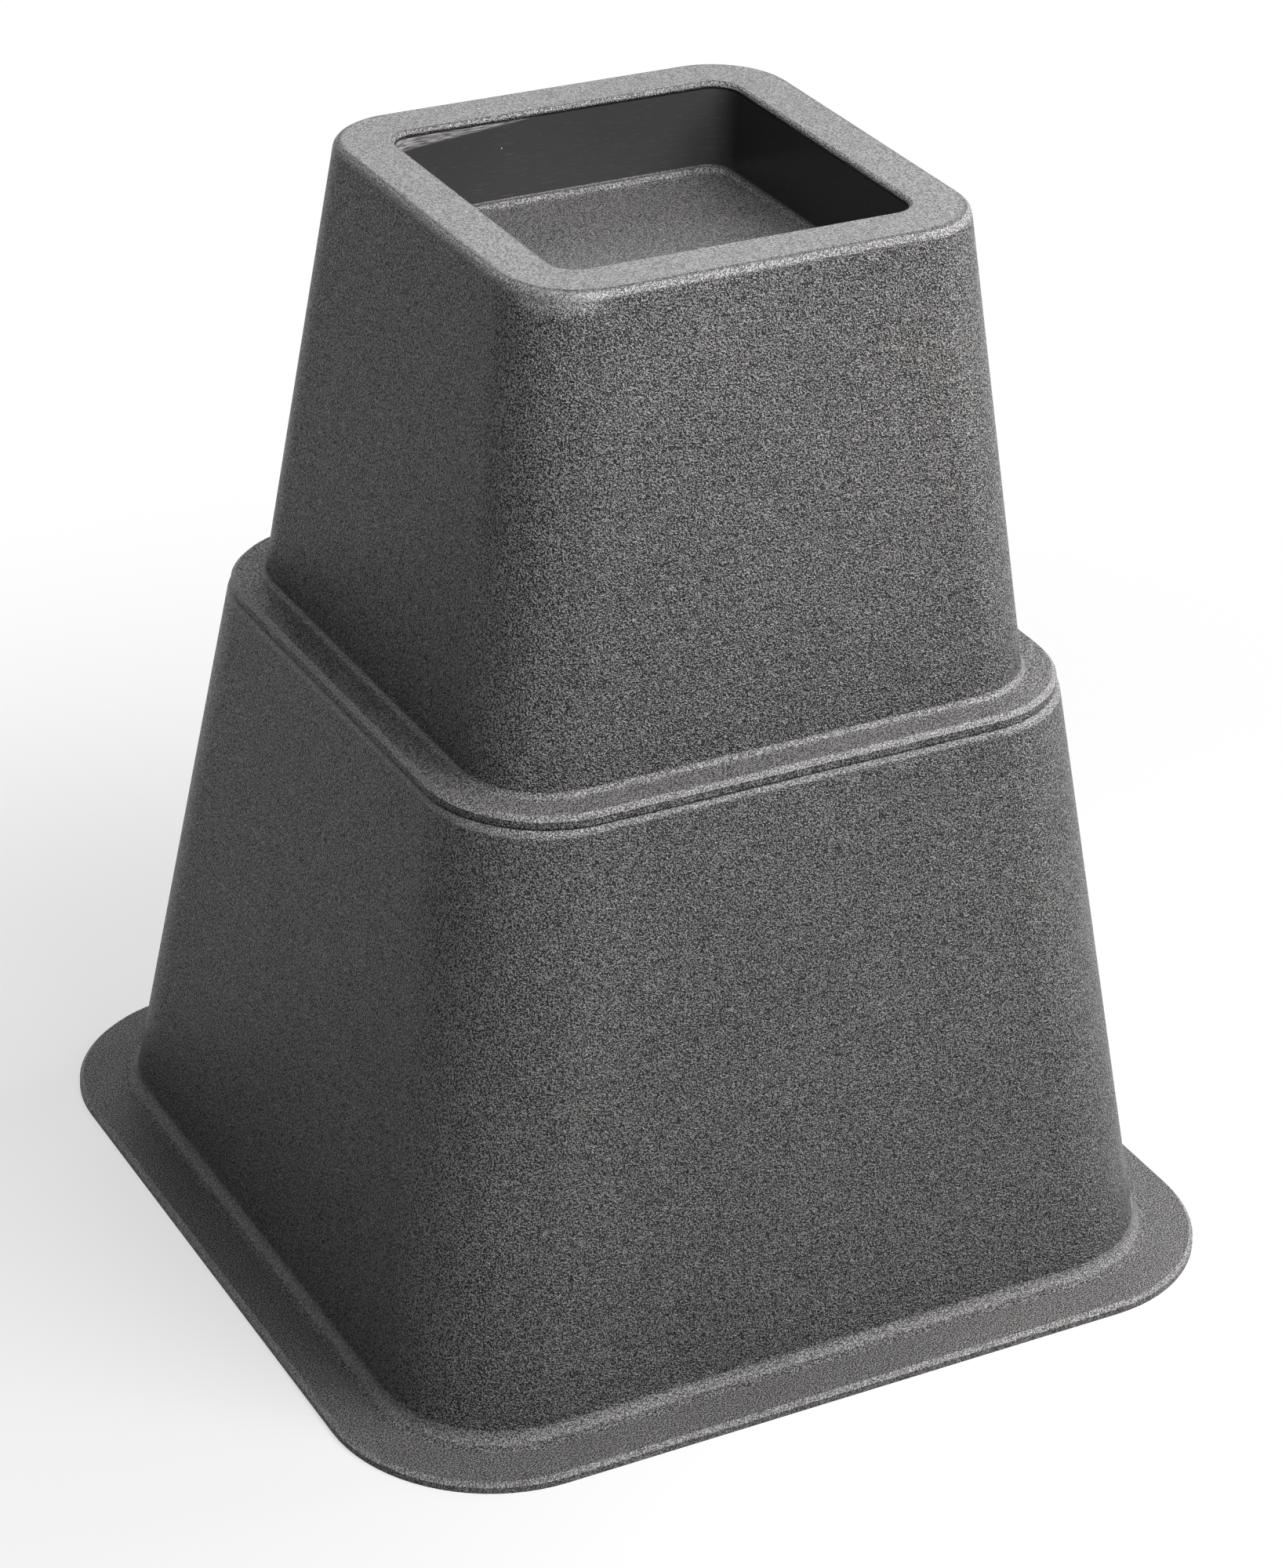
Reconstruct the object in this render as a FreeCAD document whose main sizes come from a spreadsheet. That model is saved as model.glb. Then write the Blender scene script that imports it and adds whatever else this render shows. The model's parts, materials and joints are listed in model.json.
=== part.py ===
import FreeCAD, Part
import math
import os

import Sketcher

# A tall square bed riser: two hollow plastic mouldings stacked on each other.
# The wide lower riser stands on the floor. The narrower upper riser rests on its top and takes
# the bed leg in a square well. A raised collar round the lower riser's own well enters the ribs
# of the upper one and keeps it from sliding off.
# Each riser is its outer form less a core, the block of steel that leaves the moulding hollow.
# The core has slots, and the plastic that fills them makes the ribs: two each way, which carry
# the well's walls down to what the riser stands on.
# Lengths are in millimetres. X and Y are the sides of the foot, Z is up, and the origin is the
# centre of the foot on the floor.

SIZES = {
    # The lower riser's wall where the upper one rests on it, and how far the upper riser's flange
    # stays inside that line
    "joint_width": 123.5,
    "flange_setback": 0.2,
    # Lower riser, outside. Widths are across the flats, before any rounding.
    "lower_height": 114.3,
    "lower_foot_width": 176.3,
    "lower_foot_corner": 31.0,
    "lower_foot_thickness": 2.0,
    "lower_foot_rim_chamfer": 0.8,
    "lower_foot_fillet": 3.3,
    "lower_flange": 10.5,
    "lower_wall_corner": 22.0,
    "lower_top_round": 2.0,
    # Upper riser, outside
    "upper_height": 88.9,
    "upper_foot_corner": 22.4,
    "upper_foot_thickness": 2.2,
    "upper_foot_rim_chamfer": 0.9,
    "upper_foot_fillet": 1.5,
    "upper_flange": 6.35,
    "upper_wall_corner": 15.0,
    "upper_top_round": 1.8,
    "top_rim": 10.4,
    # The well for the bed leg, the same in both risers
    "well_mouth_width": 68.6,
    "well_taper": 0.95,
    "well_corner": 5.0,
    "well_depth": 17.0,
    "well_lip_round": 0.9,
    "well_floor_fillet": 1.4,
    # Walls and ribs
    "wall": 2.8,
    "top_plate": 2.8,
    "well_wall": 2.5,
    "well_floor_plate": 3.0,
    "rib_thickness": 2.2,
    # The collar on the lower riser, and its clearance in the upper one
    "collar_height": 8.0,
    "collar_wall": 2.5,
    "collar_chamfer": 0.8,
    "collar_clearance": 0.3,
}

# Widths that follow from the sizes above
FORMULAS = {
    "lower_wall_width": "lower_foot_width - 2 * lower_flange",
    "upper_foot_width": "joint_width - 2 * flange_setback",
    "upper_wall_width": "upper_foot_width - 2 * upper_flange",
    "upper_top_width": "well_mouth_width + 2 * top_rim",
    "well_floor_width": "well_mouth_width - 2 * well_taper",
    "well_block_width": "well_floor_width + 2 * well_wall",
    "rib_spacing": "well_block_width - rib_thickness",
}

TOLERANCE = 0.001


def add_sizes(doc):
    """Put the driving sizes and the formulas in a spreadsheet, one alias each."""
    sheet = doc.addObject("Spreadsheet::Sheet", "sizes")
    cells = {name: str(number) for name, number in SIZES.items()}
    cells.update({name: f"={formula}" for name, formula in FORMULAS.items()})
    for row, (name, content) in enumerate(cells.items(), start=1):
        sheet.set(f"A{row}", name)
        sheet.set(f"B{row}", content)
        sheet.setAlias(f"B{row}", name)
    doc.recompute()


def value(doc, formula):
    """Work a formula out from the spreadsheet."""
    return float(doc.getObject("sizes").evalExpression(formula))


def origin_part(body, role):
    """Find an origin plane or axis of the body."""
    for feature in body.Origin.OriginFeatures:
        if feature.Role == role:
            return feature
    raise ValueError(f"{body.Name} has no {role}")


def flat_sketch(body, name, level):
    """Start a level sketch at a height given as a formula."""
    sketch = body.newObject("Sketcher::SketchObject", name)
    sketch.AttachmentSupport = [(origin_part(body, "XY_Plane"), "")]
    sketch.MapMode = "FlatFace"
    sketch.setExpression("AttachmentOffset.Base.z", level)
    return sketch


def add_dimension(sketch, constraint, name, formula):
    """Add a dimension to a sketch and bind it to a formula."""
    index = sketch.addConstraint(constraint)
    sketch.renameConstraint(index, name)
    sketch.setExpression(f"Constraints.{name}", formula)


def round_square(body, name, width, corner, level):
    """Sketch a centred square with round corners. All three sizes are formulas."""
    sketch = flat_sketch(body, name, level)
    radius = value(body.Document, corner)
    reach = value(body.Document, width) / 2
    centre = reach - radius
    quarter = math.pi / 2
    middles = [(centre, centre), (-centre, centre), (-centre, -centre), (centre, -centre)]
    sides = [
        ((centre, reach), (-centre, reach)),
        ((-reach, centre), (-reach, -centre)),
        ((-centre, -reach), (centre, -reach)),
        ((reach, -centre), (reach, centre)),
    ]
    for turn, middle in enumerate(middles):
        circle = Part.Circle(FreeCAD.Vector(*middle, 0), FreeCAD.Vector(0, 0, 1), radius)
        sketch.addGeometry(Part.ArcOfCircle(circle, turn * quarter, (turn + 1) * quarter))
    for first, last in sides:
        sketch.addGeometry(Part.LineSegment(FreeCAD.Vector(*first, 0), FreeCAD.Vector(*last, 0)))

    # Arcs are geometry 0 to 3 and sides 4 to 7, both anticlockwise from the +X +Y corner
    for turn in range(4):
        side = 4 + turn
        next_arc = (turn + 1) % 4
        direction = "Horizontal" if turn % 2 == 0 else "Vertical"
        sketch.addConstraint(Sketcher.Constraint("Tangent", turn, 2, side, 1))
        sketch.addConstraint(Sketcher.Constraint("Tangent", side, 2, next_arc, 1))
        sketch.addConstraint(Sketcher.Constraint(direction, side))
    for turn in range(1, 4):
        sketch.addConstraint(Sketcher.Constraint("Equal", 0, turn))
    sketch.addConstraint(Sketcher.Constraint("Equal", 4, 5))
    sketch.addConstraint(Sketcher.Constraint("Symmetric", 0, 3, 2, 3, -1, 1))
    across = Sketcher.Constraint("DistanceX", 5, 1, 7, 1, 2 * reach)
    add_dimension(sketch, across, "width", width)
    add_dimension(sketch, Sketcher.Constraint("Radius", 0, radius), "corner", corner)
    return sketch


def pad(body, name, sketch, height):
    """Raise a sketch into a block."""
    block = body.newObject("PartDesign::Pad", name)
    block.Profile = sketch
    block.setExpression("Length", height)
    body.Document.recompute()


def drafted_block(body, name, foot, top, corner):
    """Start a body with a square block whose sides lean and whose four slanted edges are round.

    The foot and the top are pairs of formulas, a width and a level.
    """
    foot_width, foot_level = foot
    top_width, top_level = top
    block = body.newObject("PartDesign::AdditiveWedge", name)
    # A wedge narrows along its own Y axis, and this plane turns that axis to Z
    block.AttachmentSupport = [(origin_part(body, "XZ_Plane"), "")]
    block.MapMode = "FlatFace"
    block.setExpression("Ymin", foot_level)
    block.setExpression("Ymax", top_level)
    for axis in ("X", "Z"):
        block.setExpression(f"{axis}min", f"-( {foot_width} ) / 2")
        block.setExpression(f"{axis}max", f"( {foot_width} ) / 2")
        block.setExpression(f"{axis}2min", f"-( {top_width} ) / 2")
        block.setExpression(f"{axis}2max", f"( {top_width} ) / 2")
    body.Document.recompute()
    add_fillet(body, f"{name}_corners", slanted_edges(block.Shape), corner)


def take_away(body, name, tool):
    """Cut another body out of this one."""
    cut = body.newObject("PartDesign::Boolean", name)
    cut.Type = "Cut"
    cut.Group = [tool]
    body.Document.recompute()


def slanted_edges(shape):
    """Names of the edges that climb in the planes where X and Y are equal in size."""
    names = []
    for index, edge in enumerate(shape.Edges, start=1):
        climbs = edge.BoundBox.ZLength > TOLERANCE
        offs = [abs(abs(vertex.X) - abs(vertex.Y)) for vertex in edge.Vertexes]
        if climbs and max(offs) < TOLERANCE:
            names.append(f"Edge{index}")
    return names


def half_reach(edge):
    """How far an edge reaches from the Z axis along X or Y."""
    box = edge.BoundBox
    return max(abs(box.XMin), abs(box.XMax), abs(box.YMin), abs(box.YMax))


def ring_edges(shape, level, outermost):
    """Names of the edges of the outermost or innermost square ring at a level."""
    flat = []
    for index, edge in enumerate(shape.Edges, start=1):
        low_off = abs(edge.BoundBox.ZMin - level)
        high_off = abs(edge.BoundBox.ZMax - level)
        if max(low_off, high_off) < TOLERANCE:
            flat.append((half_reach(edge), f"Edge{index}"))
    reaches = [reach for reach, name in flat]
    wanted = max(reaches) if outermost else min(reaches)
    return [name for reach, name in flat if abs(reach - wanted) < TOLERANCE]


def add_fillet(body, name, edges, radius):
    """Round the named edges of the body's last feature."""
    carrier = body.Tip
    fillet = body.newObject("PartDesign::Fillet", name)
    fillet.Base = (carrier, edges)
    fillet.setExpression("Radius", radius)
    body.Document.recompute()


def round_ring(body, name, level, outermost, radius):
    """Round the edges of one square ring, convex or concave."""
    edges = ring_edges(body.Tip.Shape, value(body.Document, level), outermost)
    add_fillet(body, name, edges, radius)


def chamfer_ring(body, name, level, outermost, size):
    """Bevel the edges of one square ring."""
    edges = ring_edges(body.Tip.Shape, value(body.Document, level), outermost)
    carrier = body.Tip
    chamfer = body.newObject("PartDesign::Chamfer", name)
    chamfer.Base = (carrier, edges)
    chamfer.setExpression("Size", size)
    body.Document.recompute()


def add_outside(doc, riser, top_width):
    """The drafted wall and the foot flange of one riser, with their roundings."""
    body = doc.addObject("PartDesign::Body", f"{riser}_outside")
    height = f"sizes.{riser}_height"
    flange_top = f"sizes.{riser}_foot_thickness"
    foot = (f"sizes.{riser}_wall_width", "0")
    top = (top_width, height)

    drafted_block(body, f"{riser}_wall", foot, top, f"sizes.{riser}_wall_corner")
    outline = round_square(
        body, f"{riser}_flange_outline", f"sizes.{riser}_foot_width",
        f"sizes.{riser}_foot_corner", "0")
    pad(body, f"{riser}_flange", outline, flange_top)
    round_ring(body, f"{riser}_foot_fillet", flange_top, False, f"sizes.{riser}_foot_fillet")
    chamfer_ring(body, f"{riser}_rim", flange_top, True, f"sizes.{riser}_foot_rim_chamfer")
    round_ring(body, f"{riser}_shoulder", height, True, f"sizes.{riser}_top_round")
    return body


def cut_well(body, riser, well_top):
    """Sink the well for the bed leg. Its sides lean, so that the leg centres itself."""
    floor_level = f"sizes.{riser}_height - sizes.well_depth"
    floor = ("sizes.well_floor_width", floor_level)
    mouth = ("sizes.well_mouth_width", well_top)
    plug = body.Document.addObject("PartDesign::Body", f"{riser}_well_plug")
    drafted_block(plug, f"{riser}_well_form", floor, mouth, "sizes.well_corner")
    take_away(body, f"{riser}_well", plug)


def add_core(doc, riser, top_width, well_top):
    """The core of one riser: its hollow, less the well's block and a slot for each rib."""
    body = doc.addObject("PartDesign::Body", f"{riser}_core")
    body.AllowCompound = True
    height = f"sizes.{riser}_height"
    wall_width = f"sizes.{riser}_wall_width"

    # The hollow's sides are parallel to the outside, so its width at the top plate lies on a
    # line between the two outer widths
    plate_width = f"{top_width} + ( {wall_width} - {top_width} ) * sizes.top_plate / {height}"
    foot = (f"{wall_width} - 2 * sizes.wall", "0")
    top = (f"{plate_width} - 2 * sizes.wall", f"{height} - sizes.top_plate")
    corner = f"sizes.{riser}_wall_corner - sizes.wall"
    drafted_block(body, f"{riser}_hollow", foot, top, corner)

    block_level = f"{height} - sizes.well_depth - sizes.well_floor_plate"
    block_foot = ("sizes.well_block_width", block_level)
    block_top = ("sizes.well_mouth_width + 2 * sizes.well_wall", well_top)
    block_corner = "sizes.well_corner + sizes.well_wall"
    block = doc.addObject("PartDesign::Body", f"{riser}_well_block")
    drafted_block(block, f"{riser}_block_form", block_foot, block_top, block_corner)
    take_away(body, f"{riser}_well_room", block)

    cut_rib_slots(body, riser, "X")
    cut_rib_slots(body, riser, "Y")
    return body


def cut_rib_slots(body, riser, direction):
    """Cut two slots through the core, spaced along one direction."""
    name = f"{riser}_slots_{direction.lower()}"
    far_face = "( sizes.rib_spacing + sizes.rib_thickness ) / 2"
    length = f"sizes.{riser}_wall_width"
    spans = [(far_face, "sizes.rib_thickness"), (f"{length} / 2", length)]
    if direction == "Y":
        spans.reverse()
    (left, width), (bottom, depth) = spans

    sketch = flat_sketch(body, f"{name}_outline", "0")
    corners = [FreeCAD.Vector(x, y, 0) for x, y in ((-2, -2), (-1, -2), (-1, -1), (-2, -1))]
    for side in range(4):
        sketch.addGeometry(Part.LineSegment(corners[side], corners[(side + 1) % 4]))
    for side in range(4):
        line = "Horizontal" if side % 2 == 0 else "Vertical"
        sketch.addConstraint(Sketcher.Constraint("Coincident", side, 2, (side + 1) % 4, 1))
        sketch.addConstraint(Sketcher.Constraint(line, side))
    add_dimension(sketch, Sketcher.Constraint("DistanceX", 0, 1, -1, 1, 2), "left", left)
    add_dimension(sketch, Sketcher.Constraint("DistanceY", 0, 1, -1, 1, 2), "bottom", bottom)
    add_dimension(sketch, Sketcher.Constraint("DistanceX", 0, 1, 0, 2, 1), "width", width)
    add_dimension(sketch, Sketcher.Constraint("DistanceY", 1, 1, 1, 2, 1), "depth", depth)
    body.Document.recompute()

    slot = body.newObject("PartDesign::Pocket", name)
    slot.Profile = sketch
    slot.Type = "ThroughAll"
    slot.Reversed = True
    body.Document.recompute()

    row = body.newObject("PartDesign::LinearPattern", f"{name}_row")
    row.Originals = [slot]
    row.Direction = (origin_part(body, f"{direction}_Axis"), [""])
    row.Mode = "Spacing"
    row.setExpression("Offset", "sizes.rib_spacing")
    row.Occurrences = 2
    body.Tip = row
    body.Document.recompute()


def hollow_out(doc, node, outside, core):
    """Take the core out of the outer form, which leaves the finished moulding."""
    riser = doc.addObject("Part::Cut", node)
    riser.Label = node
    riser.Base = outside
    riser.Tool = core
    doc.recompute()
    return riser


def add_lower_riser(doc):
    """The wide moulding that stands on the floor."""
    height = "sizes.lower_height"
    collar_top = f"{height} + sizes.collar_height"
    top_width = "sizes.joint_width"

    outside = add_outside(doc, "lower", top_width)
    collar = round_square(
        outside, "collar_outline", "sizes.well_mouth_width + 2 * sizes.collar_wall",
        "sizes.well_corner + sizes.collar_wall", height)
    pad(outside, "collar", collar, "sizes.collar_height")
    cut_well(outside, "lower", collar_top)
    chamfer_ring(outside, "collar_lead_in", collar_top, True, "sizes.collar_chamfer")
    chamfer_ring(outside, "collar_mouth", collar_top, False, "sizes.collar_chamfer")

    core = add_core(doc, "lower", top_width, collar_top)
    return hollow_out(doc, "lower_riser", outside, core)


def add_upper_riser(doc):
    """The narrower moulding on top. It is drawn on the floor and placed on the lower one."""
    height = "sizes.upper_height"
    top_width = "sizes.upper_top_width"

    outside = add_outside(doc, "upper", top_width)
    cut_well(outside, "upper", height)
    floor_level = f"{height} - sizes.well_depth"
    round_ring(outside, "upper_well_floor", floor_level, True, "sizes.well_floor_fillet")
    round_ring(outside, "upper_well_lip", height, False, "sizes.well_lip_round")

    core = add_core(doc, "upper", top_width, height)
    collar_room = "2 * ( sizes.collar_wall + sizes.collar_clearance )"
    seat = round_square(
        core, "collar_seat_outline", f"sizes.well_mouth_width + {collar_room}",
        "sizes.well_corner + sizes.collar_wall + sizes.collar_clearance", "0")
    pad(core, "collar_seat", seat, "sizes.collar_height + sizes.collar_clearance")

    riser = hollow_out(doc, "upper_riser", outside, core)
    riser.setExpression("Placement.Base.z", "sizes.lower_height")
    doc.recompute()
    return riser


def check_document(doc, risers):
    """Stop if any object failed, or a riser is not one valid solid."""
    for item in doc.Objects:
        if "Invalid" in item.State or "Error" in item.State:
            raise RuntimeError(f"{item.Name} did not recompute: {item.State}")
    for riser in risers:
        shape = riser.Shape
        if shape.isNull() or not shape.isValid():
            raise RuntimeError(f"{riser.Label} has no valid shape")
        if len(shape.Solids) != 1:
            raise RuntimeError(f"{riser.Label} has {len(shape.Solids)} solids, not one")


def main():
    doc = FreeCAD.newDocument("bed_riser")
    add_sizes(doc)
    risers = [add_lower_riser(doc), add_upper_riser(doc)]
    check_document(doc, risers)
    os.makedirs("parts", exist_ok=True)
    for riser in risers:
        riser.Shape.exportStep(f"parts/{riser.Label}.step")
        box = riser.Shape.optimalBoundingBox(False)
        volume = riser.Shape.Volume / 1000
        print(f"{riser.Label}: {volume:.1f} cm3, from {box.ZMin:.1f} to {box.ZMax:.1f} mm")


main()
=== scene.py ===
import json
import math

import bpy
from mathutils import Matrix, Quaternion, Vector


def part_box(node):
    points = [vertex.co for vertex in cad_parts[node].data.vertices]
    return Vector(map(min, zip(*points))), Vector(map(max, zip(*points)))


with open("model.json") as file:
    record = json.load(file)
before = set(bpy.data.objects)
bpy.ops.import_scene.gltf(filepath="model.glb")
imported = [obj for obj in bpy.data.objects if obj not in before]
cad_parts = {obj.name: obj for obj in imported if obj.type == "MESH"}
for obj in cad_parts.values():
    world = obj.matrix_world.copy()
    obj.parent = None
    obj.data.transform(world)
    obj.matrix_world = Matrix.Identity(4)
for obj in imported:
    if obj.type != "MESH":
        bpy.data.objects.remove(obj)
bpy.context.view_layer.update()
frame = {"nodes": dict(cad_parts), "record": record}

# Camera, fitted to the photograph: where it looks, from where, and how far it leans
CAMERA_AIM = Vector((-0.0026, -0.0079, 0.0863))
CAMERA_AZIMUTH = math.radians(-28.593)
CAMERA_ELEVATION = math.radians(28.977)
CAMERA_DISTANCE = 0.8323
CAMERA_ROLL = math.radians(1.497)
LENS_MM = 103.83
SENSOR_MM = 36.0

MM_PER_M = 1000.0

# Heights that the finishes follow, read from the frame
top_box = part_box("upper_riser")
TOP_MM = top_box[1].z * MM_PER_M
SEAM_MM = top_box[0].z * MM_PER_M
LEG_SEAT_MM = next(
    mount["pos_m"][2] for mount in frame["record"]["mounts"] if mount["name"] == "leg_seat"
) * MM_PER_M

# Where the marks lie, in millimetres from the middle: the well's edge fades between two reaches
WELL_EDGE_IN_MM = 34.2
WELL_EDGE_OUT_MM = 34.9
MARKED_WALL_FROM_MM = 32.0
MARKED_WALL_TO_MM = 33.0
SCUFF_X_MM = -38.0
SCUFF_Y_MM = -43.0

# Texture scales, per millimetre
COARSE_GRAIN_SCALE = 3.5
PEBBLE_SCALE = 2.5
FINE_GRAIN_SCALE = 3.6
CLOUD_SCALE = 0.03
DUST_SCALE = 0.3

# Colours of the plastic, of its marks, and of the painted highlight on its moulding line
DARK_PLASTIC = (0.08, 0.0765, 0.079, 1)
PALE_PLASTIC = (0.091, 0.088, 0.087, 1)
DUST_COLOR = (0.45, 0.44, 0.42, 1)
MOULDING_LINE_HIGHLIGHT_COLOR = (0.3, 0.25, 0.21, 1)


class Graph:
    """Short ways to add and join shader nodes."""

    def __init__(self, tree):
        self.nodes = tree.nodes
        self.links = tree.links

    def add(self, kind, inputs=None, **settings):
        node = self.nodes.new(kind)
        for name, setting in settings.items():
            setattr(node, name, setting)
        for name, source in (inputs or {}).items():
            self.feed(node, name, source)
        return node

    def feed(self, node, name, source):
        if isinstance(source, bpy.types.NodeSocket):
            self.links.new(source, node.inputs[name])
        else:
            node.inputs[name].default_value = source

    def math(self, operation, first, second=0.0, third=0.0, clamp=False):
        inputs = {0: first, 1: second, 2: third}
        return self.add("ShaderNodeMath", inputs, operation=operation, use_clamp=clamp).outputs[0]

    def ramp(self, value, low, high, to_low=0.0, to_high=1.0, smooth=True):
        kind = "SMOOTHSTEP" if smooth else "LINEAR"
        inputs = {
            "Value": value, "From Min": low, "From Max": high, "To Min": to_low, "To Max": to_high}
        return self.add("ShaderNodeMapRange", inputs, interpolation_type=kind).outputs[0]

    def mix(self, factor, first, second):
        inputs = {"Factor": factor, "A": first, "B": second}
        return self.add("ShaderNodeMix", inputs, data_type="FLOAT").outputs[0]

    def mix_color(self, factor, first, second, blend="MIX"):
        node = self.add("ShaderNodeMix", data_type="RGBA", blend_type=blend)
        self.feed(node, 0, factor)
        self.feed(node, 6, first)
        self.feed(node, 7, second)
        return node.outputs[2]

    def sees_background(self):
        rays = self.add("ShaderNodeLightPath").outputs
        mirrored = self.math("MAXIMUM", rays["Is Glossy Ray"], rays["Is Transmission Ray"])
        return self.math("MAXIMUM", rays["Is Camera Ray"], mirrored)


def new_material(name):
    material = bpy.data.materials.new(name)
    material.use_nodes = True
    material.node_tree.nodes.clear()
    return material, Graph(material.node_tree)


def plastic_material():
    """Black moulded plastic with a leather grain outside and smooth walls in the well."""
    material, g = new_material("black_plastic")
    place = g.add("ShaderNodeTexCoord").outputs["Object"]
    scaled = g.add("ShaderNodeVectorMath", {0: place, "Scale": MM_PER_M}, operation="SCALE")
    mm = scaled.outputs[0]
    axes = g.add("ShaderNodeSeparateXYZ", {0: mm})
    x_size = g.math("ABSOLUTE", axes.outputs[0])
    y_size = g.math("ABSOLUTE", axes.outputs[1])
    reach = g.math("MAXIMUM", x_size, y_size)
    height = axes.outputs[2]
    normal = g.add("ShaderNodeNewGeometry").outputs["Normal"]
    lean = g.add("ShaderNodeSeparateXYZ", {0: normal}).outputs[2]

    # Zones: level faces have a finer grain, rounded edges a softer one, and the well's walls none
    level_face = g.ramp(lean, 0.8, 0.97)
    rounded = g.math("MULTIPLY", g.ramp(lean, 0.16, 0.42), g.ramp(lean, 0.8, 0.97, 1.0, 0.0))
    inside_edge = g.ramp(reach, WELL_EDGE_IN_MM, WELL_EDGE_OUT_MM, 1.0, 0.0)
    in_well = g.math(
        "MULTIPLY", inside_edge, g.ramp(height, LEG_SEAT_MM + 0.4, LEG_SEAT_MM + 1.6))
    below_lip = g.ramp(height, TOP_MM - 1.3, TOP_MM - 0.7, 1.0, 0.0)
    smooth_wall = g.math("MULTIPLY", in_well, below_lip)

    # A scuff on the rounded edge of the near corner, under the top rim
    scuff_x_gap = g.math("ABSOLUTE", g.math("SUBTRACT", axes.outputs[0], SCUFF_X_MM))
    scuff_y_gap = g.math("ABSOLUTE", g.math("SUBTRACT", axes.outputs[1], SCUFF_Y_MM))
    near_scuff = g.ramp(g.math("MAXIMUM", scuff_x_gap, scuff_y_gap), 3.0, 9.0, 1.0, 0.0)
    scuff = g.math("MULTIPLY", near_scuff, g.ramp(height, TOP_MM - 5.0, TOP_MM - 2.0))
    scuff = g.math("MULTIPLY", scuff, g.ramp(lean, 0.9, 0.97, 1.0, 0.0))

    # Painted shade: the colour is darkened by ambient occlusion in crevices where two faces nearly meet
    crevice = g.add("ShaderNodeAmbientOcclusion", {"Distance": 1.2 / MM_PER_M}, samples=4)
    crevice_shade = g.ramp(crevice.outputs["AO"], 0.22, 0.6, 0.02, 1.0)

    # The rims of both flanges are shaded as rounded: their sides lean up towards the top edge
    foot_rim = g.math("MULTIPLY", g.ramp(height, 2.1, 2.3, 1.0, 0.0), g.ramp(height, 0.0, 2.0, 0.3, 1.0))
    joint_rim = g.math(
        "MULTIPLY", g.ramp(height, SEAM_MM + 2.3, SEAM_MM + 2.5, 1.0, 0.0),
        g.ramp(height, SEAM_MM, SEAM_MM + 2.0, 0.05, 0.7))
    joint_rim = g.math("MULTIPLY", joint_rim, g.ramp(height, SEAM_MM - 0.1, SEAM_MM, smooth=False))
    rim_side = g.math("MULTIPLY", g.ramp(lean, 0.6, 0.8, 1.0, 0.0), g.ramp(lean, -0.6, -0.4))
    rim_lift = g.math("MULTIPLY", g.math("ADD", foot_rim, joint_rim), rim_side)
    lift = g.add("ShaderNodeCombineXYZ", {2: rim_lift}).outputs[0]
    lifted = g.add("ShaderNodeVectorMath", {0: normal, 1: lift}, operation="ADD").outputs[0]
    rounded_normal = g.add("ShaderNodeVectorMath", {0: lifted}, operation="NORMALIZE").outputs[0]

    # Marks in the well: a rougher strip under the back lip, a painted highlight along the moulding line
    # of the right lip, and faint level scratches
    depth = g.math("SUBTRACT", TOP_MM, height)
    strip_depth = g.ramp(axes.outputs[0], -34.0, 0.0, 3.8, 0.8, smooth=False)
    strip = g.ramp(g.math("SUBTRACT", depth, strip_depth), -0.5, 0.2, 1.0, 0.0)
    back_wall = g.ramp(axes.outputs[1], MARKED_WALL_FROM_MM, MARKED_WALL_TO_MM)
    strip = g.math("MULTIPLY", strip, back_wall)
    strip = g.math("MULTIPLY", strip, smooth_wall)
    stretched = g.add("ShaderNodeVectorMath", {0: mm, 1: (0.35, 0.35, 6.0)}, operation="MULTIPLY")
    streaks = g.add("ShaderNodeTexNoise", {"Vector": stretched.outputs[0], "Scale": 1.0, "Detail": 2.0})
    scratch = g.math("MULTIPLY", g.ramp(streaks.outputs["Fac"], 0.6, 0.72), smooth_wall)
    line_height = g.math("ABSOLUTE", g.math("SUBTRACT", depth, 0.75))
    moulding_line_highlight = g.math("MULTIPLY", g.ramp(line_height, 0.08, 0.2, 1.0, 0.0), in_well)
    right_wall = g.ramp(axes.outputs[0], MARKED_WALL_FROM_MM, MARKED_WALL_TO_MM)
    moulding_line_highlight = g.math("MULTIPLY", moulding_line_highlight, right_wall)
    moulding_line_highlight = g.math(
        "MULTIPLY", moulding_line_highlight, g.ramp(streaks.outputs["Fac"], 0.4, 0.6, 0.3, 1.0))

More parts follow.
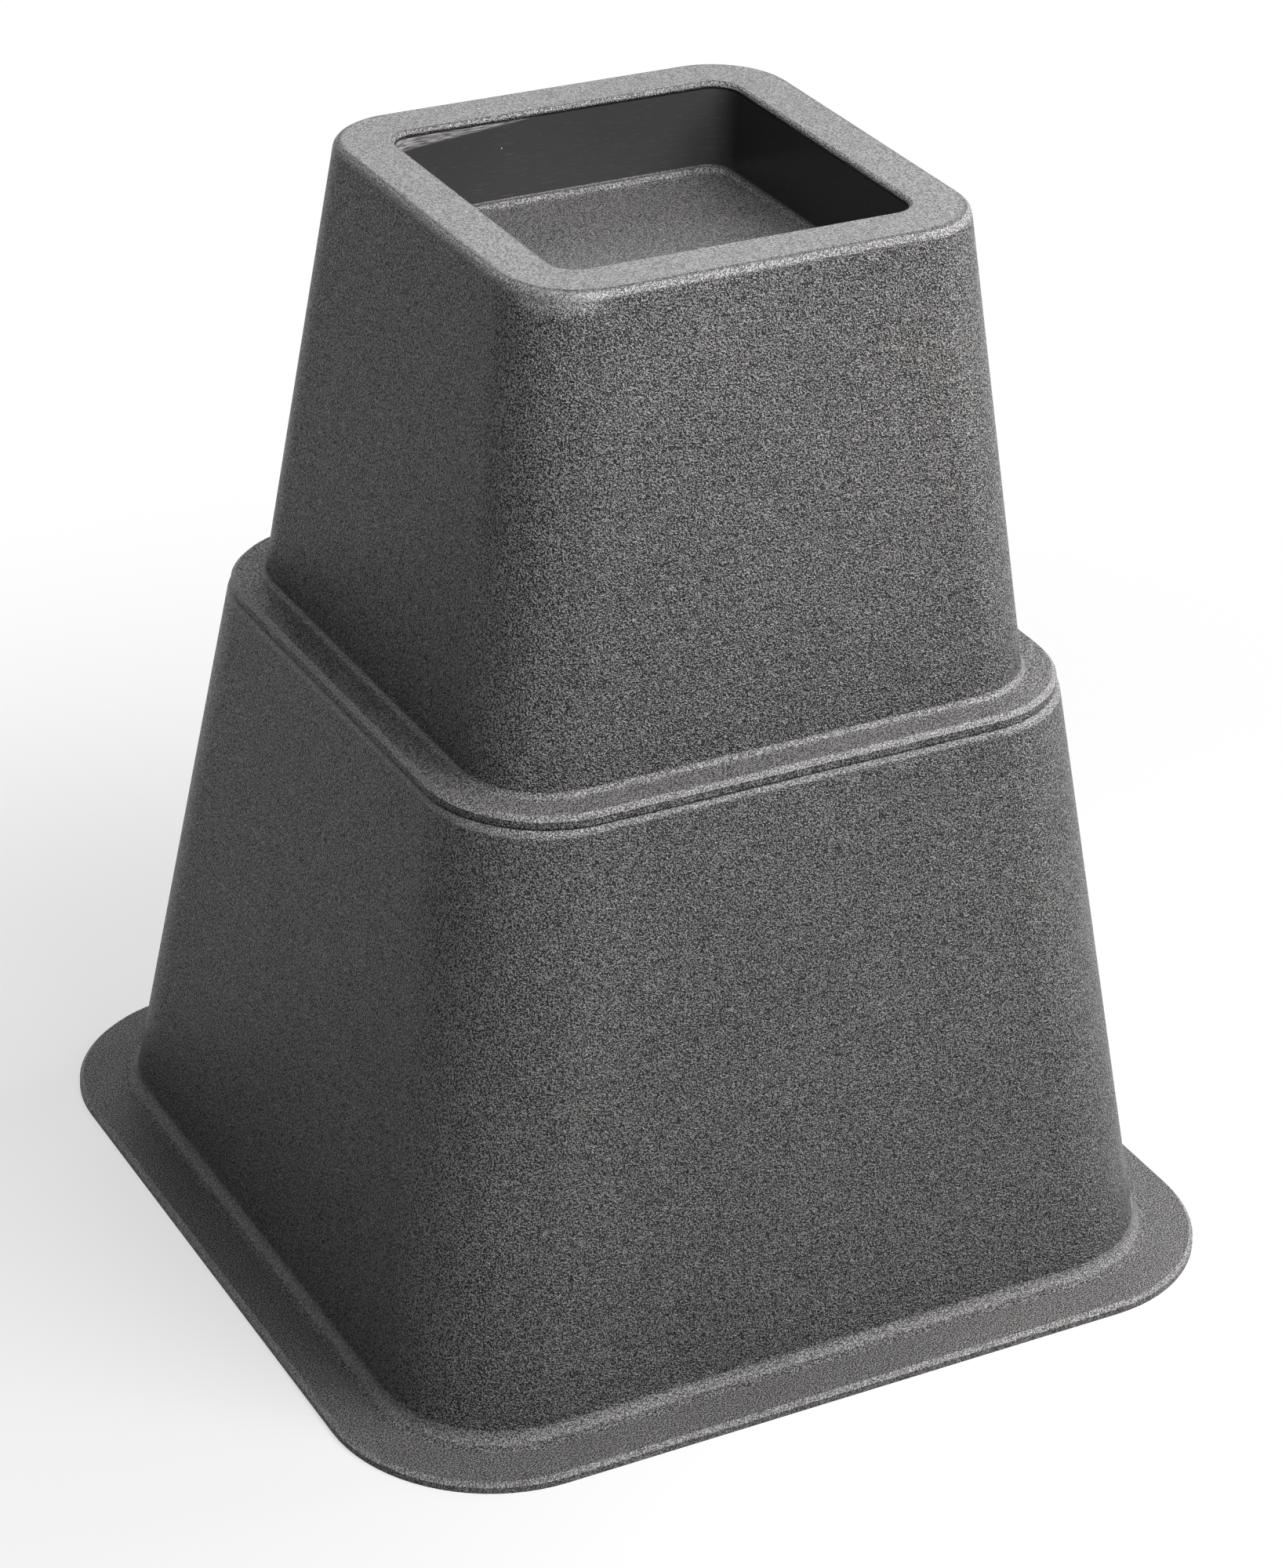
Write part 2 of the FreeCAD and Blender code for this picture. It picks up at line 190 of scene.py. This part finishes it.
    # Leather grain: small pebbles with grooves between them
    coarse = g.add("ShaderNodeTexNoise", {"Vector": mm, "Scale": COARSE_GRAIN_SCALE, "Detail": 1.0})
    coarse_grain = coarse.outputs["Fac"]
    pebbles = g.add("ShaderNodeTexNoise", {"Vector": mm, "Scale": PEBBLE_SCALE, "Detail": 0.0})
    from_groove = g.math("ABSOLUTE", g.math("SUBTRACT", pebbles.outputs["Fac"], 0.5))
    plateau = g.ramp(from_groove, 0.0, 0.07)
    coarse_relief = g.math(
        "ADD", g.math("MULTIPLY", coarse_grain, 1.4), g.math("MULTIPLY", plateau, 0.13))
    coarse_depth = g.math("MULTIPLY", coarse_relief, g.ramp(rounded, 0.0, 1.0, 1.0, 0.22))
    fine = g.add("ShaderNodeTexNoise", {"Vector": mm, "Scale": FINE_GRAIN_SCALE, "Detail": 1.0})
    fine_grain = fine.outputs["Fac"]
    fine_depth = g.math("MULTIPLY", fine_grain, 0.07)
    top_face = g.math("MULTIPLY", level_face, g.ramp(height, TOP_MM - 1.5, TOP_MM - 1.0))
    flange_depth = g.math("MULTIPLY", coarse_relief, 0.25)
    grain = g.mix(level_face, coarse_depth, g.mix(top_face, flange_depth, fine_depth))
    worn = g.math("MAXIMUM", smooth_wall, g.math("MULTIPLY", scuff, 0.8))
    relief = g.math("MULTIPLY", grain, g.math("SUBTRACT", 1.0, worn))
    bump = g.add("ShaderNodeBump", {
        "Height": relief, "Strength": 1.0, "Distance": 1 / MM_PER_M, "Normal": rounded_normal})

    # Tone: broad cloudiness, the grain's tone with painted shade in its grooves and painted light on its
    # pebbles, painted shade in crevices, and darker smooth walls
    clouds = g.add("ShaderNodeTexNoise", {"Vector": mm, "Scale": CLOUD_SCALE, "Detail": 3.0})
    base = g.mix_color(g.ramp(clouds.outputs["Fac"], 0.3, 0.7), DARK_PLASTIC, PALE_PLASTIC)
    grain_and_groove_shade = g.math(
        "MULTIPLY", g.ramp(coarse_grain, 0.38, 0.62, 0.25, 1.75), g.ramp(plateau, 0.0, 1.0, 0.35, 1.1))
    top_tone = g.ramp(fine_grain, 0.4, 0.6, 0.1, 0.7)
    level_tone = g.mix(top_face, g.math("MULTIPLY", grain_and_groove_shade, 0.8), top_tone)
    grain_tone = g.mix(level_face, grain_and_groove_shade, level_tone)
    wall_tone = g.math("ADD", g.math("MULTIPLY", scratch, 0.15), 0.22)
    strip_tone = g.ramp(streaks.outputs["Fac"], 0.35, 0.65, 0.3, 2.2)
    wall_tone = g.mix(strip, wall_tone, strip_tone)
    tone = g.math("MULTIPLY", g.mix(smooth_wall, grain_tone, wall_tone), crevice_shade)
    # Painted light: the side of the foot flange's rim is made paler, as if lit by light bounced up from
    # the floor
    foot_rim_painted_light = g.math("MULTIPLY", g.ramp(height, 1.6, 2.2, 1.0, 0.0), g.ramp(lean, 0.5, 0.8, 1.0, 0.0))
    foot_rim_painted_light = g.math("MULTIPLY", foot_rim_painted_light, g.ramp(lean, -0.6, -0.4))
    tone = g.math("ADD", tone, g.math("MULTIPLY", foot_rim_painted_light, 0.5))
    tone_color = g.add("ShaderNodeCombineColor", {0: tone, 1: tone, 2: tone})
    base = g.mix_color(1.0, base, tone_color.outputs[0], "MULTIPLY")

    # Pale dust specks, and the painted highlight on the moulding line
    dust = g.add("ShaderNodeTexVoronoi", {"Vector": mm, "Scale": DUST_SCALE})
    chosen = g.add("ShaderNodeSeparateColor", {0: dust.outputs["Color"]}).outputs[0]
    speck = g.math(
        "MULTIPLY", g.ramp(dust.outputs["Distance"], 0.02, 0.045, 1.0, 0.0), g.ramp(chosen, 0.5, 0.6))
    base = g.mix_color(speck, base, DUST_COLOR)
    base = g.mix_color(g.math("MULTIPLY", moulding_line_highlight, 0.8), base, MOULDING_LINE_HIGHLIGHT_COLOR)

    # Roughness: the well is smoother than the outside, and crevices are rougher
    well_floor = g.math("MULTIPLY", level_face, g.ramp(height, TOP_MM - 2.0, TOP_MM - 1.0, 1.0, 0.0))
    well_floor = g.math("MULTIPLY", well_floor, inside_edge)
    outer_roughness = g.mix(rounded, g.mix(level_face, 0.36, 0.38), 0.5)
    roughness = g.mix(smooth_wall, g.mix(well_floor, outer_roughness, 0.26), 0.28)
    roughness = g.math("ADD", roughness, g.math("MULTIPLY", g.math("SUBTRACT", 1.0, crevice_shade), 0.5))

    # Sheen from handling: the tops of the grain are burnished, and the grooves stay dull
    wall_polish = g.math("MULTIPLY", g.ramp(coarse_grain, 0.44, 0.57, 0.0, 0.85), plateau)
    top_polish = g.ramp(fine_grain, 0.35, 0.6, 0.1, 0.4)
    round_polish = g.math("ADD", g.math("MULTIPLY", wall_polish, 0.4), 0.5)
    polish = g.mix(top_face, g.mix(rounded, wall_polish, round_polish), top_polish)
    polish = g.mix(smooth_wall, g.mix(well_floor, polish, 0.5), 0.36)
    polish = g.math("ADD", polish, g.math("MULTIPLY", scratch, 0.12), clamp=True)
    polish = g.mix(scuff, polish, 1.0)
    polish = g.math("MULTIPLY", polish, crevice_shade)
    shader = g.add("ShaderNodeBsdfPrincipled", {
        "Base Color": base, "Roughness": roughness, "Normal": bump.outputs[0],
        "IOR": 1.5, "Specular IOR Level": 0.06, "Coat Weight": polish, "Coat Roughness": 0.32,
        "Coat IOR": 1.5, "Coat Normal": bump.outputs[0]})
    g.add("ShaderNodeOutputMaterial", {"Surface": shader.outputs[0]})
    return material


def floor_material():
    """Grey floor that the camera and mirror rays see as nearly white, darker near the object."""
    material, g = new_material("floor")
    matt = g.add("ShaderNodeBsdfDiffuse", {"Color": (0.45, 0.45, 0.45, 1)})
    white = g.add("ShaderNodeEmission", {"Color": (1, 1, 1, 1), "Strength": 1.0})
    place = g.add("ShaderNodeTexCoord").outputs["Object"]
    distance = g.add("ShaderNodeVectorMath", {0: place}, operation="LENGTH").outputs["Value"]
    whiteness = g.ramp(distance, 0.1, 0.33, 0.6, 1.0)
    seen = g.math("MULTIPLY", g.sees_background(), whiteness)
    both = g.add("ShaderNodeMixShader", {0: seen, 1: matt.outputs[0], 2: white.outputs[0]})
    g.add("ShaderNodeOutputMaterial", {"Surface": both.outputs[0]})
    return material


def add_floor():
    size = 3.0
    mesh = bpy.data.meshes.new("floor")
    corners = [(-size, -size, 0), (size, -size, 0), (size, size, 0), (-size, size, 0)]
    mesh.from_pydata(corners, [], [(0, 1, 2, 3)])
    floor = bpy.data.objects.new("floor", mesh)
    floor.data.materials.append(floor_material())
    bpy.context.scene.collection.objects.link(floor)


def set_world():
    """Soft even light, and a white background for camera, mirror and transmission rays."""
    world = bpy.data.worlds.new("studio")
    bpy.context.scene.world = world
    world.use_nodes = True
    world.node_tree.nodes.clear()
    g = Graph(world.node_tree)
    seen = g.sees_background()
    soft = g.add("ShaderNodeBackground", {"Color": (1, 1, 1, 1), "Strength": 0.045})
    white = g.add("ShaderNodeBackground", {"Color": (1, 1, 1, 1), "Strength": 1.0})
    both = g.add("ShaderNodeMixShader", {0: seen, 1: soft.outputs[0], 2: white.outputs[0]})
    g.add("ShaderNodeOutputWorld", {"Surface": both.outputs[0]})


def add_softbox(name, azimuth, elevation, distance, width, height, power):
    """A rectangular lamp that faces the object, placed by the angles it stands at."""
    turn = math.radians(azimuth)
    rise = math.radians(elevation)
    back = Vector((
        math.sin(turn) * math.cos(rise), -math.cos(turn) * math.cos(rise), math.sin(rise)))
    lamp = bpy.data.lights.new(name, "AREA")
    lamp.shape = "RECTANGLE"
    lamp.size = width
    lamp.size_y = height
    lamp.energy = power
    box = bpy.data.objects.new(name, lamp)
    box.location = Vector((0, 0, 0.1)) + back * distance
    box.rotation_mode = "QUATERNION"
    box.rotation_quaternion = (-back).to_track_quat("-Z", "Y")
    bpy.context.scene.collection.objects.link(box)


def add_camera():
    back = Vector((
        math.sin(CAMERA_AZIMUTH) * math.cos(CAMERA_ELEVATION),
        -math.cos(CAMERA_AZIMUTH) * math.cos(CAMERA_ELEVATION),
        math.sin(CAMERA_ELEVATION)))
    data = bpy.data.cameras.new("camera")
    data.lens = LENS_MM
    data.sensor_width = SENSOR_MM
    data.clip_start = 0.01
    camera = bpy.data.objects.new("camera", data)
    camera.location = CAMERA_AIM + back * CAMERA_DISTANCE
    camera.rotation_mode = "QUATERNION"
    facing = (-back).to_track_quat("-Z", "Y")
    camera.rotation_quaternion = facing @ Quaternion((0, 0, 1), CAMERA_ROLL)
    bpy.context.scene.collection.objects.link(camera)
    bpy.context.scene.camera = camera


plastic = plastic_material()
for node in frame["nodes"].values():
    node.data.materials.clear()
    node.data.materials.append(plastic)

add_floor()
set_world()
add_softbox("key", azimuth=25, elevation=49, distance=0.42, width=0.3, height=0.3, power=5.0)
add_softbox("fill", azimuth=-30, elevation=28, distance=1.0, width=0.5, height=0.5, power=1.5)
add_softbox("left", azimuth=-90, elevation=74, distance=0.9, width=0.2, height=0.2, power=0.8)
add_softbox("side", azimuth=92, elevation=16, distance=1.0, width=0.4, height=0.4, power=10)
add_softbox("back", azimuth=151, elevation=36, distance=0.63, width=0.4, height=0.2, power=1.7)
add_camera()
bpy.context.scene.view_settings.view_transform = "Standard"
